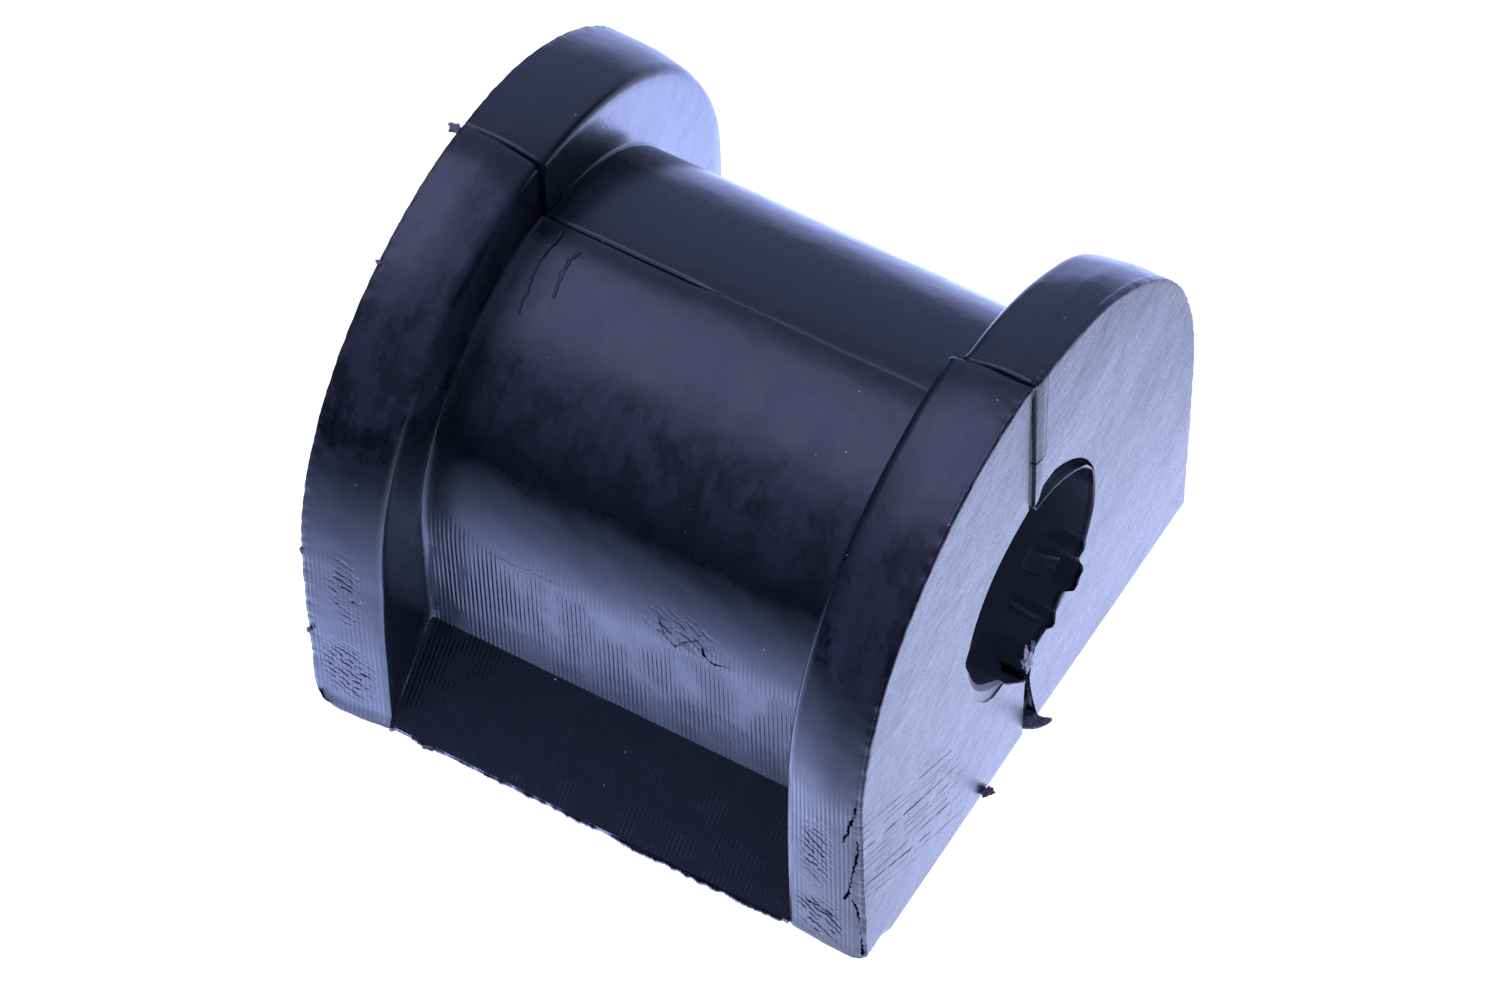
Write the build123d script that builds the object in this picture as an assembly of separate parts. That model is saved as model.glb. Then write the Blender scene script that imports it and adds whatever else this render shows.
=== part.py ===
from build123d import *
import os
from math import cos, pi, radians, sin, tan

# One-piece moulded rubber bushing that holds a sway bar in a saddle bracket.
# The origin is the centre of the bar bore at mid length, +X runs along the bore
# towards the flange with the chipped mouth, and the flat base faces -Z.
# All sizes are in millimetres.

# Overall form
BUSH_LENGTH = 60.0
BAR_BORE_DIAMETER = 22.5
BORE_HEIGHT = 23.7
ARCH_CENTRE_DROP = 0.6

# End flanges: an arch with drafted sides that run down to the base
FLANGE_RADIUS = 30.9
FLANGE_THICKNESS = 8.2
NEAR_DRAFT = 1.9
FAR_DRAFT = 0.6
RIM_LAND_WIDTH = 3.5
RIM_CROWN_DROP = 0.5
SHOULDER_RADIUS = 0.9

# Saddle seat between the flanges, flared at the foot for the bend of the bracket
SEAT_RADIUS = 22.5
SEAT_DRAFT = 2.4
FLARE_HEIGHT = 8.5
FLARE_SETBACK = 0.3
FOOT_LIP_HEIGHT = 0.6
ROOT_RADIUS = 0.5

# Mould halves part on an upright plane just beside the bore axis. The core pin sat a
# little off that plane, and the far half sits askew to the near one
PARTING_Y = -0.6
FAR_HALF_ALONG = 0.3
FAR_HALF_OUT = 0.35

# Bore mouths, and the slit that lets the bushing open around the bar
MOUTH_CHAMFER = 0.7
SLIT_WIDTH = 0.4

# Torn flash that stands out along the foot between the flanges: its section, its
# straight pieces, and the turns and share of height of each wave in its edge
FLASH_THICKNESS = 0.45
FLASH_REACH = 0.5
FLASH_RIPPLE = 0.12
FLASH_PIECES = 44
FLASH_WAVES = ((6.5, 1.0), (15.4, 0.6), (24.0, 0.4))

# Chips torn out of the +X mouth: angle from +Y, reach past the bore wall and width
CHIPS = ((-49.5, 2.9, 2.6), (-71.0, 2.2, 1.5), (-87.0, 0.9, 0.8))
CHIP_DEPTH = 1.8

# Places worked out from the sizes above
BASE_Z = -BORE_HEIGHT
ARCH_Z = -ARCH_CENTRE_DROP
ARCH_HEIGHT = BORE_HEIGHT - ARCH_CENTRE_DROP
END_X = BUSH_LENGTH / 2
SEAT_END_X = END_X - FLANGE_THICKNESS
LAND_INNER_X = END_X - RIM_LAND_WIDTH
BORE_RADIUS = BAR_BORE_DIAMETER / 2
OVERSIZE = 4 * max(BUSH_LENGTH, FLANGE_RADIUS, BORE_HEIGHT)


def side_reach(radius, draft, height):
    """Half the width at a height over the base, where the drafted side leans in."""
    return radius / cos(radians(draft)) - (ARCH_HEIGHT - height) * tan(radians(draft))


def arch_section(radius, draft, side_points, x):
    """Section at x: an arch whose ends run on smoothly into points given as (y, height)."""
    spring = (radius * cos(radians(draft)), ARCH_Z - radius * sin(radians(draft)))
    right = [spring] + [(y, BASE_Z + height) for y, height in side_points]
    left = [(-y, z) for y, z in reversed(right)]
    arch = ThreePointArc(left[-1], (0, ARCH_Z + radius), right[0])
    outline = make_face(arch + Polyline(*right, *left))
    return Pos(x, 0, 0) * (Plane.YZ * outline)


def flange_section(radius, draft, x):
    """Outline of a flange, which stands flat on the base."""
    return arch_section(radius, draft, [(side_reach(radius, draft, 0), 0)], x)


def flange(draft):
    """The +X flange: a straight land at the rim, then a crown that falls to a soft shoulder."""
    crown_low = flange_section(FLANGE_RADIUS - RIM_CROWN_DROP, draft, SEAT_END_X)
    crown_high = flange_section(FLANGE_RADIUS, draft, LAND_INNER_X)
    crown = loft([crown_low, crown_high], ruled=True)
    land = extrude(crown_high, amount=RIM_LAND_WIDTH, dir=(1, 0, 0))
    whole = crown + land
    inner_wall = whole.faces().sort_by(Axis.X)[0]
    shoulder = inner_wall.edges().filter_by(lambda edge: edge.center().Z > BASE_Z + SHOULDER_RADIUS)
    return fillet(shoulder, SHOULDER_RADIUS)


def saddle_seat(draft):
    """Body between the flanges: an arch, upright sides and a flared foot with a small lip."""
    waist = (side_reach(SEAT_RADIUS, SEAT_DRAFT, FLARE_HEIGHT), FLARE_HEIGHT)
    foot = side_reach(FLANGE_RADIUS, draft, 0) - FLARE_SETBACK
    section = arch_section(
        SEAT_RADIUS, SEAT_DRAFT, [waist, (foot, FOOT_LIP_HEIGHT), (foot, 0)], -SEAT_END_X
    )
    return extrude(section, amount=2 * SEAT_END_X, dir=(1, 0, 0))


def seat_roots(shape):
    """Edges where the seat's arch and upright sides meet the inner walls of the flanges."""
    return shape.edges().filter_by(
        lambda edge: abs(abs(edge.center().X) - SEAT_END_X) < 1e-3
        and all(corner.Z > BASE_Z + FLARE_HEIGHT - 1e-3 for corner in edge.vertices())
        and all(abs(corner.Y) < SEAT_RADIUS + 1e-3 for corner in edge.vertices())
    )


def full_moulding(draft):
    """Both flanges with the seat between them, as if from one mould cavity."""
    front = flange(draft)
    joined = front + saddle_seat(draft) + mirror(front, about=Plane.YZ)
    return fillet(seat_roots(joined), ROOT_RADIUS)


def foot_flash(draft):
    """Thin torn flash along the foot of the seat on the +Y side, with an uneven outer edge."""
    foot = side_reach(FLANGE_RADIUS, draft, 0) - FLARE_SETBACK
    edge = []
    for i in range(FLASH_PIECES + 1):
        share = i / FLASH_PIECES
        wave = sum(size * sin(2 * pi * turns * share) for turns, size in FLASH_WAVES)
        edge.append((SEAT_END_X * (2 * share - 1), foot + FLASH_REACH + FLASH_RIPPLE * wave))
    root = foot - FOOT_LIP_HEIGHT
    outline = make_face(Polyline(*edge, (SEAT_END_X, root), (-SEAT_END_X, root), close=True))
    return extrude(Pos(0, 0, BASE_Z) * outline, amount=FLASH_THICKNESS, dir=(0, 0, 1))


def mould_half(draft, out):
    """The +Y half of a moulding that stands out from the parting plane, with its flash."""
    whole = Pos(0, out, 0) * (full_moulding(draft) + foot_flash(draft))
    plus_y = Pos(0, OVERSIZE / 2, 0) * Box(OVERSIZE, OVERSIZE, OVERSIZE)
    return whole & plus_y


def moulded_halves():
    """The two mould halves, joined on the parting plane with a small step between them."""
    near = mirror(mould_half(NEAR_DRAFT, 0), about=Plane.XZ)
    far = Pos(FAR_HALF_ALONG, 0, 0) * mould_half(FAR_DRAFT, FAR_HALF_OUT)
    return Pos(0, PARTING_Y, 0) * (near + far)


def bar_bore():
    """Cutter for the bar bore, whose mouths flare out at 45 degrees."""
    wall_end = END_X - MOUTH_CHAMFER
    flare = (OVERSIZE, BORE_RADIUS + OVERSIZE - wall_end)
    half = [(wall_end, BORE_RADIUS), flare, (OVERSIZE, 0)]
    other = [(-x, radius) for x, radius in reversed(half)]
    return revolve(make_face(Polyline(*half, *other, close=True)), axis=Axis.X)


def opening_slit():
    """Cutter for the slit on the parting plane, from the bore down through the base."""
    return Pos(0, PARTING_Y, -OVERSIZE / 2) * Box(OVERSIZE, SLIT_WIDTH, OVERSIZE)


def mouth_chip(angle, reach, width):
    """Cutter for one chip torn out of the bore's edge in the +X face."""
    outline = make_face(
        Polyline(
            (BORE_RADIUS - reach, -width / 2),
            (BORE_RADIUS + 0.6 * reach, -width / 2),
            (BORE_RADIUS + reach, width / 4),
            (BORE_RADIUS + 0.5 * reach, width / 2),
            (BORE_RADIUS - reach, width / 2),
            close=True,
        )
    )
    at_face = Pos(END_X, 0, 0) * (Plane.YZ * (Rot(0, 0, angle) * outline))
    return extrude(at_face, amount=CHIP_DEPTH, dir=(-1, 0, 0), both=True)


def bushing():
    """The whole bushing as one solid."""
    shape = moulded_halves()
    shape -= bar_bore()
    shape -= opening_slit()
    for angle, reach, width in CHIPS:
        shape -= mouth_chip(angle, reach, width)
    return shape


os.makedirs("parts", exist_ok=True)
export_step(bushing(), "parts/bushing.step")
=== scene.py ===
"""Looks of a used rubber sway bar bushing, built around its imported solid.

Lengths on the drawing are in millimetres, and MM turns them into Blender's metres.
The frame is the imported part's own: the origin is the centre of the bar bore at mid
length, +X runs along the bore to the flange with the torn mouth, and +Z is up.
"""
from __future__ import annotations

import logging
import math
from dataclasses import dataclass
from enum import Enum

import bmesh
import bpy
import numpy as np
from mathutils import Matrix, Vector, noise

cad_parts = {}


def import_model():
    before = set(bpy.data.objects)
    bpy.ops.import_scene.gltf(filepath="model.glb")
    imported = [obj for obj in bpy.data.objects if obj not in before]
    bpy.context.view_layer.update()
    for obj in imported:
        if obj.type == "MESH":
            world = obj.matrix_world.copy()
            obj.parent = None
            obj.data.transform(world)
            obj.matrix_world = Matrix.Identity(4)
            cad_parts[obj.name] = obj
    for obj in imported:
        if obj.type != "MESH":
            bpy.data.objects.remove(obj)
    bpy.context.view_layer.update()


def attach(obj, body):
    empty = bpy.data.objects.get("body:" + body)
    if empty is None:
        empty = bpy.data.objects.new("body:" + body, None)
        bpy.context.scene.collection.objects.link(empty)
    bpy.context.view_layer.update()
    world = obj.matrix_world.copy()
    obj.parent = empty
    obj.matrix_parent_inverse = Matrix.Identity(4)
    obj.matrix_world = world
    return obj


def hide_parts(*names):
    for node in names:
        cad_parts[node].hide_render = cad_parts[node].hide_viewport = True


MM = 0.001
NODE = "bushing"
BODY = "root"
BASE_Z = -23.7
PARTING_Y = -0.6
END_X = 30.0

Point = tuple[float, float, float]
Colour = tuple[float, float, float, float]
Span = tuple[float, float]
Line = tuple[Span, ...]

log = logging.getLogger("bushing")


def deselect_all() -> None:
    """Leave object mode with nothing selected."""
    if bpy.context.mode != "OBJECT":
        bpy.ops.object.mode_set(mode="OBJECT")
    bpy.ops.object.select_all(action="DESELECT")


def ease(value: np.ndarray | float, low: float, high: float) -> np.ndarray:
    """Smooth ramp from 0 at low to 1 at high."""
    share = np.clip((np.asarray(value, dtype=float) - low) / (high - low), 0.0, 1.0)
    return share * share * (3.0 - 2.0 * share)


def ripple(points: np.ndarray, pitch: float, seed: float = 0.0) -> np.ndarray:
    """Smooth noise from about -1 to 1 over points.

    Args:
        points: rows of x, y and z in millimetres.
        pitch: size of one wave in millimetres.
        seed: moves the pattern to another place.

    Returns:
        One value for each point.
    """
    shift = Vector((seed * 17.3, seed * 5.1, seed * 9.7))
    return np.array([noise.noise(Vector(point) / pitch + shift) for point in points])


def finish_mesh(piece: bpy.types.Object, angle: float = 35.0) -> None:
    """Merge doubles, turn the faces outwards and shade smooth under an angle.

    Args:
        piece: the mesh object.
        angle: degrees over which an edge stays sharp.
    """
    deselect_all()
    bpy.context.view_layer.objects.active = piece
    piece.select_set(True)
    bpy.ops.object.mode_set(mode="EDIT")
    bpy.ops.mesh.select_all(action="SELECT")
    bpy.ops.mesh.remove_doubles(threshold=1e-6)
    bpy.ops.mesh.normals_make_consistent(inside=False)
    bpy.ops.object.mode_set(mode="OBJECT")
    bpy.ops.object.shade_smooth_by_angle(angle=math.radians(angle))


def apply_modifier(piece: bpy.types.Object, kind: str, settings: dict[str, float]) -> None:
    """Change the active object by one modifier.

    Args:
        piece: the mesh object.
        kind: the modifier's type.
        settings: the modifier's properties.
    """
    modifier = piece.modifiers.new(kind.lower(), kind)
    for name, value in settings.items():
        setattr(modifier, name, value)
    bpy.ops.object.modifier_apply(modifier=modifier.name)


def thicken(piece: bpy.types.Object, thickness: float) -> None:
    """Give the flat active object a thickness in millimetres, half of it on each side."""
    apply_modifier(piece, "SOLIDIFY", {"thickness": thickness * MM, "offset": 0.0})


class Half(Enum):
    """The two halves of the mould, on either side of the parting plane."""

    NEAR = -1
    FAR = 1


class Zone(Enum):
    """Zones of the skin, which wear in their own ways."""

    RIM = "rim"
    WALL = "wall"
    SEAT = "seat"
    FACE = "face"
    MOUTH = "mouth"
    BORE = "bore"


@dataclass(frozen=True)
class HalfOutline:
    """Section sizes of one mould half, measured out from the parting plane.

    Args:
        half: which half this is.
        reach: half width of the flange at the arch's spring.
        rise: height of the flange's arch over its spring.
        spring: height of the flange's spring.
        foot: half width of the flange at the base.
        seat_foot: half width of the seat's flared foot.
        crown: how far the rim's inner edge is drawn in at the side and at the top.
        soft: softness of the inner edge at the side, as a share of that at the top.
        soft_z: heights between which the inner edge grows soft.
        front_wall: x of the front flange's inner wall.
        back_wall: x of the back flange's inner wall.
        columns: columns on the base, lip, flare, side and arch.
        seat_reach: half width of the seat at its arch's spring.
        seat_rise: height of the seat's arch over its spring.
        seat_spring: height of the seat's spring.
        waist: half width of the seat where its flare begins.
        waist_z: height of that place.
        lip: height of the upright lip under the flare.
        seam_offsets: distances from the parting plane of the columns beside the seam.
    """

    half: Half
    reach: float
    rise: float
    spring: float
    foot: float
    seat_foot: float
    crown: Span
    soft: float
    soft_z: Span
    front_wall: float
    back_wall: float
    columns: tuple[int, int, int, int, int]
    seat_reach: float = 22.55
    seat_rise: float = 22.55
    seat_spring: float = -0.32
    waist: float = 22.25
    waist_z: float = -14.55
    lip: float = 0.5
    seam_offsets: tuple[float, ...] = (0.03, 0.12, 0.22, 0.34, 0.5, 0.7, 0.95, 1.25, 1.6)

    def heights(self, spring: float) -> np.ndarray:
        """Heights of the columns on the side, from the base to just under the spring."""
        _, lip, flare, side, _ = self.columns
        lip_z = BASE_Z + self.lip
        low = np.linspace(BASE_Z, lip_z, lip, endpoint=False)
        middle = np.linspace(lip_z, self.waist_z, flare, endpoint=False)
        high = np.linspace(self.waist_z, spring, side, endpoint=False)
        return np.concatenate([low, middle, high])

    def arch_angles(self) -> np.ndarray:
        """Angles of the columns on the arch, closer together beside the seam."""
        seam = np.arccos(np.array(self.seam_offsets[::-1]) / self.reach)
        evenly = np.linspace(0.0, seam[0], self.columns[4] - len(seam), endpoint=False)
        return np.concatenate([evenly, seam])

    def flange(self, crown: float, inset: float, slit: float) -> np.ndarray:
        """Points of the flange's outline, from the slit to the top of the arch.

        Args:
            crown: 0 on the rim's land, 1 on its inner edge.
            inset: how far the outline is drawn in besides, round an edge.
            slit: half width of the slit.

        Returns:
            Rows of (distance from the parting plane, height).
        """
        heights = self.heights(self.spring)
        share = (heights - BASE_Z) / (self.spring - BASE_Z)
        side_y = self.foot + (self.reach - self.foot) * share - self.drawn_in(heights, crown, inset)
        base_y = np.linspace(slit, side_y[0], self.columns[0], endpoint=False)
        angle = self.arch_angles()
        drawn = self.drawn_in(self.spring + self.rise * np.sin(angle), crown, inset)
        arch_y = (self.reach - drawn) * np.cos(angle)
        arch_z = self.spring + (self.rise - drawn) * np.sin(angle)
        y = np.concatenate([base_y, side_y, arch_y])
        z = np.concatenate([np.full(len(base_y), BASE_Z), heights, arch_z])
        return np.column_stack([y, z])

    def drawn_in(self, heights: np.ndarray, crown: float, inset: float) -> np.ndarray:
        """How far the outline is drawn in at each height, less at the sharp low edges."""
        share = ease(heights, *self.soft_z)
        low, high = self.crown
        softness = self.soft + (1.0 - self.soft) * share
        return inset * softness + crown * (low + (high - low) * share)

    def seat(self, inset: float, slit: float) -> np.ndarray:
        """Points of the seat's outline, from the slit to the top of the arch.

        Args:
            inset: how far the outline is drawn in from the full size.
            slit: half width of the slit.

        Returns:
            Rows of (distance from the parting plane, height).
        """
        foot = self.seat_foot
        reach = self.seat_reach - inset
        base_y = np.linspace(slit, foot, self.columns[0], endpoint=False)
        heights = self.heights(self.seat_spring)
        corner_z = [BASE_Z, BASE_Z + self.lip, self.waist_z, self.seat_spring]
        side_y = np.interp(heights, corner_z, [foot, foot, self.waist - inset, reach])
        angle = self.arch_angles()
        arch_z = self.seat_spring + (self.seat_rise - inset) * np.sin(angle)
        y = np.concatenate([base_y, side_y, reach * np.cos(angle)])
        z = np.concatenate([np.full(len(base_y), BASE_Z), heights, arch_z])
        return np.column_stack([y, z])


@dataclass(frozen=True)
class Station:
    """One ring of the moulding's skin.

    Args:
        zone: the zone that it lies in.
        end: 1 at the front end, -1 at the back, 0 on what joins them.
        depth: distance in from the outer face; where end is 0, from -1 to 1.
        inward: distance out from the inner wall, used instead of depth where it is given.
        crown: 0 on the rim's land, 1 on its inner edge.
        inset: how far the outline is drawn in round an edge.
        seat: 0 on the flange's outline, 1 on the seat's.
        bore: 0 on the outline, 1 on the bore.
        flare: how far the bore's mouth opens here, from 0 to 1.
    """

    zone: Zone
    end: int
    depth: float = 0.0
    inward: float | None = None
    crown: float = 0.0
    inset: float = 0.0
    seat: float = 0.0
    bore: float = 0.0
    flare: float = 0.0


@dataclass(frozen=True)
class TornMouth:
    """Edge of the front mouth, where bits have torn out and a lip has pulled away.

    Args:
        edge: pairs of angle in degrees and radius, from -Y round over the base to +Y.
        lip: rows of angle, width from the edge in to the lip, depth between the two, and
            depth of the lip itself.
        radius: radius of the bore.
        lip_width: width of the lip's flat top.
        lip_round: how far the lip's inner edge is rounded down.
        groove_inset: how far in the groove lies at most, as a share of the lip's width.
        top_inset: the same for the lip's flat top.
        groove_start: widest lip whose groove still lies closer in.
        wall: depth down to which the torn walls stand straight.
        depth: how deep the torn places go.
    """

    edge: Line = (
        (-180.0, 12.5), (-172.0, 12.0), (-166.0, 11.9), (-147.0, 12.3), (-133.0, 12.55),
        (-124.0, 12.45), (-118.5, 11.9), (-116.0, 11.6), (-103.0, 13.3), (-92.2, 15.4),
        (-90.3, 15.0), (-88.5, 11.4), (-81.5, 11.0), (-76.0, 11.4), (-73.5, 12.4),
        (-71.0, 13.3), (-68.5, 12.4), (-66.5, 11.2), (-62.0, 10.7), (-58.5, 10.5),
        (-56.3, 10.7), (-54.8, 13.9), (-52.0, 14.3), (-49.0, 13.9), (-46.0, 14.1),
        (-43.5, 13.3), (-41.0, 11.9), (-38.0, 11.1), (-35.0, 11.9), (-32.0, 11.8),
        (-27.0, 11.3), (-16.0, 11.2), (-6.0, 11.5), (5.0, 11.5), (20.0, 11.9), (33.0, 12.1),
        (50.0, 12.55), (63.0, 13.1), (77.0, 13.95), (86.0, 13.7), (88.5, 12.2),
        (91.5, 11.8), (110.0, 11.8), (165.0, 12.1), (172.0, 12.6), (180.0, 12.5),
    )
    lip: tuple[tuple[float, float, float, float], ...] = (
        (-180.0, 0.75, 0.12, 0.25), (-166.0, 0.8, 0.12, 0.25), (-133.0, 1.85, 0.12, 0.35),
        (-124.0, 1.6, 0.12, 0.32), (-118.5, 0.8, 0.12, 0.22), (-116.0, 0.1, 0.1, 0.1),
        (20.0, 0.1, 0.1, 0.1), (33.0, 0.7, 2.5, 0.15), (42.0, 1.35, 4.0, 0.15),
        (63.0, 2.6, 4.0, 0.15), (77.0, 3.55, 4.0, 0.15), (86.0, 3.3, 4.0, 0.15),
        (88.5, 1.8, 2.0, 0.15), (91.5, 0.1, 0.1, 0.1), (165.0, 0.1, 0.1, 0.1),
        (172.0, 0.65, 0.12, 0.25), (180.0, 0.75, 0.12, 0.25),
    )
    radius: float = 11.25
    lip_width: float = 0.3
    lip_round: float = 0.06
    groove_inset: float = 0.4
    top_inset: float = 0.5
    groove_start: float = 0.1
    wall: float = 2.5
    depth: float = 5.0

    def profile(self, angles: np.ndarray, step: int) -> tuple[np.ndarray, np.ndarray]:
        """Place one ring of the mouth.

        Args:
            angles: angles round the bore.
            step: the ring, from 0 on the face to 5 on the bore's wall.

        Returns:
            Radius and depth at each angle.
        """
        turned = np.degrees(angles)
        outer = np.interp(turned, *zip(*self.edge))
        places, *rows = zip(*self.lip)
        width, groove, sunk = (np.interp(turned, places, row) for row in rows)
        lip = outer - width
        top = np.minimum(lip + self.lip_width, outer - self.top_inset * width)
        grooved = outer - self.groove_inset * width.clip(0.0, self.groove_start)
        even = np.ones(len(angles))
        radii = (outer, grooved, top, lip, np.maximum(lip, self.radius), self.radius * even)
        deep = (self.wall * even, self.depth * even)
        depths = (0.0 * even, groove, sunk, sunk + self.lip_round, *deep)
        return radii[step], depths[step]


@dataclass(frozen=True)
class Swell:
    """A rounded rise or groove that falls off on both sides of its middle.

    Args:
        height: how high or deep it is.
        width: how far from the middle it falls off.
        middle: where its middle lies.
    """

    height: float
    width: float
    middle: float = 0.0

    def at(self, value: np.ndarray) -> np.ndarray:
        """Height at each place."""
        return self.height * np.exp(-(((value - self.middle) / self.width) ** 2))


@dataclass(frozen=True)
class Dip:
    """A dip that is deepest at the seam and falls off away from it.

    Args:
        depth: its depth at the seam.
        width: how far from the seam it falls off.
    """

    depth: float
    width: float

    def at(self, from_seam: np.ndarray) -> np.ndarray:
        """Depth at each distance from the parting plane."""
        return self.depth * np.exp(-from_seam / self.width)


@dataclass(frozen=True)
class Wear:
    """Sizes of the mould's misfit and of the wear on the skin.

    Args:
        seam_z: heights between which the wear beside the seam sets in.
        waves: heights and lengths of the skin's long and short waves.
        groove: groove along the seam.
        near_dip: dip of the near half beside it.
        fade_x: places on the seat between which groove and dip fade.
        groove_lost: share of the groove that is lost in front of them.
        dip_lost: share of the dip that is lost there.
        near_swell: swelling of the near back rim, over z.
        far_swell: swelling of the far back rim, over z.
        far_drop: how far the far back rim lies in at the top.
        far_drop_z: heights between which it falls back.
        shoulder_drop: how far the far front rim's inner edge lies in at the top.
        shoulder_z: heights between which that falls back.
        seat_rise: how far the far half of the seat stands out at mid length.
        seat_slope: how much further with each millimetre forwards.
        seat_merge: distance from the seam over which it runs out in front.
        ragged: how far the rims' outer edges are torn ragged.
        ragged_pitches: lengths of the fine and coarse waves of those edges.
        coarse: strength of the coarse waves.
        bevel: how far the near front edge is worn back low down.
        bevel_z: heights between which that wear ends.
        bevel_reach: distances from the parting plane between which it begins.
        face_wave: height and length of the faces' waves.
        face_groove: groove along the seam in the faces.
        face_dip: dip of the near half of the faces beside it.
        wall_dip: how far the near half of the front flange's inner wall lies back.
    """

    seam_z: Span = (5.0, 9.0)
    waves: Line = ((0.07, 9.0), (0.025, 2.3))
    groove: Swell = Swell(0.16, 0.17)
    near_dip: Dip = Dip(0.17, 1.3)
    fade_x: Span = (-7.0, -3.0)
    groove_lost: float = 0.9375
    dip_lost: float = 0.8
    near_swell: Swell = Swell(0.25, 6.0, -8.0)
    far_swell: Swell = Swell(0.12, 4.0, 19.0)
    far_drop: float = 0.3
    far_drop_z: Span = (4.0, 14.0)
    shoulder_drop: float = 0.25
    shoulder_z: Span = (22.0, 26.0)
    seat_rise: float = 0.12
    seat_slope: float = 0.009
    seat_merge: float = 3.0
    ragged: float = 0.14
    ragged_pitches: Span = (0.55, 1.3)
    coarse: float = 0.6
    bevel: float = 0.12
    bevel_z: Span = (-6.0, 2.0)
    bevel_reach: Span = (26.0, 29.0)
    face_wave: Span = (0.05, 7.0)
    face_groove: Swell = Swell(0.17, 0.14)
    face_dip: Dip = Dip(0.1, 1.2)
    wall_dip: Dip = Dip(0.35, 3.0)

    def skin(self, points: np.ndarray, station: Station, half: Half) -> np.ndarray:
        """How far the skin of a rim, wall or seat stands out from its outline.

        Args:
            points: rows of x, y and z.
            station: the ring that they lie in.
            half: the half that they lie in.

        Returns:
            One distance for each point.
        """
        from_seam = half.value * (points[:, 1] - PARTING_Y)
        above = ease(points[:, 2], *self.seam_z)
        (long, long_pitch), (short, short_pitch) = self.waves
        push = long * ripple(points, long_pitch) + short * ripple(points, short_pitch, 1.0)
        faded = ease(points[:, 0], *self.fade_x) * (station.zone is Zone.SEAT)
        push -= above * (1.0 - self.groove_lost * faded) * self.groove.at(from_seam)
        if half is Half.NEAR:
            push -= above * (1.0 - self.dip_lost * faded) * self.near_dip.at(from_seam)
            if station.end < 0:
                push += self.near_swell.at(points[:, 2])
        elif station.zone is Zone.SEAT:
            raised = self.seat_rise + self.seat_slope * points[:, 0]
            push += raised * (1.0 - faded * np.exp(-from_seam / self.seat_merge))
        elif station.end < 0:
            push -= self.far_drop * ease(points[:, 2], *self.far_drop_z)
            push += self.far_swell.at(points[:, 2])
        else:
            push -= self.shoulder_drop * station.crown * ease(points[:, 2], *self.shoulder_z)
        return push

    def rim_edge(self, points: np.ndarray, station: Station, half: Half) -> np.ndarray:
        """How far a rim's ragged outer edge stands out besides.

        Args:
            points: rows of x, y and z.
            station: the ring that they lie in.
            half: the half that they lie in.

        Returns:
            One distance for each point.
        """
        fine, coarse = self.ragged_pitches
        ragged = ripple(points, fine, 3.0) + self.coarse * ripple(points, coarse, 4.0)
        push = self.ragged * ragged * (1.0 - station.depth)
        if half is Half.NEAR and station.end > 0:
            from_seam = half.value * (points[:, 1] - PARTING_Y)
            low = (1.0 - ease(points[:, 2], *self.bevel_z)) * ease(from_seam, *self.bevel_reach)
            push -= self.bevel * low * (1.0 - station.depth)
        return push

    def forward(self, points: np.ndarray, station: Station, half: Half) -> np.ndarray:
        """How far a ring's points are moved along the bore.

        Args:
            points: rows of x, y and z.
            station: the ring that they lie in.
            half: the half that they lie in.

        Returns:
            One distance for each point.
        """
        from_seam = half.value * (points[:, 1] - PARTING_Y)
        above = ease(points[:, 2], *self.seam_z)
        along = np.zeros(len(points))
        if station.zone is Zone.FACE:
            height, pitch = self.face_wave
            raised = height * ripple(points, pitch, 2.0) - above * self.face_groove.at(from_seam)
            if half is Half.NEAR:
                raised -= above * self.face_dip.at(from_seam)
            along += station.end * raised
        if half is Half.NEAR and station.end > 0 and station.inward is not None:
            along -= above * self.wall_dip.at(from_seam)
        return along


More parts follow.
